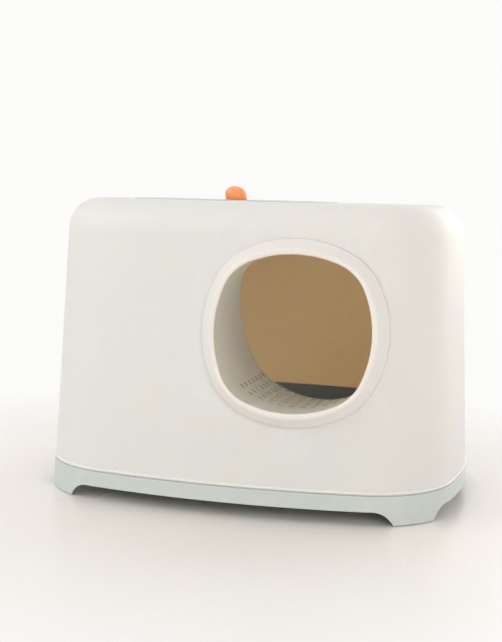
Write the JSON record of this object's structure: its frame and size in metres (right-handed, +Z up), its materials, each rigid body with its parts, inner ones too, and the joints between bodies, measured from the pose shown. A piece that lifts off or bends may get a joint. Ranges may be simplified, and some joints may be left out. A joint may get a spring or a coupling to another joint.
{
  "type": "litter box",
  "caption": "Hooded litter box: deep pan on corner feet, tall rounded hood with a round entry tunnel, and a lift-off lid.",
  "frame": {"origin": "middle of the overall width and depth, at floor level under the foot pads", "axes": "+Z up; the entry tunnel opens towards -Y; +X runs along the width, to the right when facing the entry"},
  "size_m": [0.5426, 0.415, 0.3991],
  "materials": {
    "base_mint": "fine matt moulded polypropylene, pale mint grey",
    "hood_cream": "fine matt moulded polypropylene, warm off-white",
    "ring_cream": "satin moulded polypropylene, warm off-white",
    "tunnel_cream": "satin moulded polypropylene, warm off-white",
    "lid_mint": "fine matt moulded polypropylene, pale mint grey",
    "grip_orange": "smooth moulded orange plastic",
    "frame_mint": "fine matt moulded polypropylene, pale mint grey",
    "filter_carbon": "black carbon-filled open foam",
    "pad_rubber": "soft grey rubber",
    "screw_steel": "zinc-plated steel"
  },
  "bodies": {
    "base": {"base_pan": "base_mint", "foot_pad_front_left": "pad_rubber", "foot_pad_front_right": "pad_rubber", "foot_pad_back_left": "pad_rubber", "foot_pad_back_right": "pad_rubber"},
    "hood": {"hood": "hood_cream", "entry_ring": "ring_cream", "entry_tunnel": "tunnel_cream", "ring_screws": "screw_steel"},
    "lid": {"top_lid": "lid_mint", "lid_grip": "grip_orange", "grip_screw": "screw_steel", "filter_frame": "frame_mint", "filter_pad": "filter_carbon"}
  },
  "joints": [
    {"name": "hood_lift", "type": "slide", "parent": "base", "child": "hood", "axis": [0, 0, 1], "range_m": [0, 0.12]},
    {"name": "lid_lift", "type": "slide", "parent": "hood", "child": "lid", "axis": [0, 0, 1], "range_m": [0, 0.1]}
  ]
}
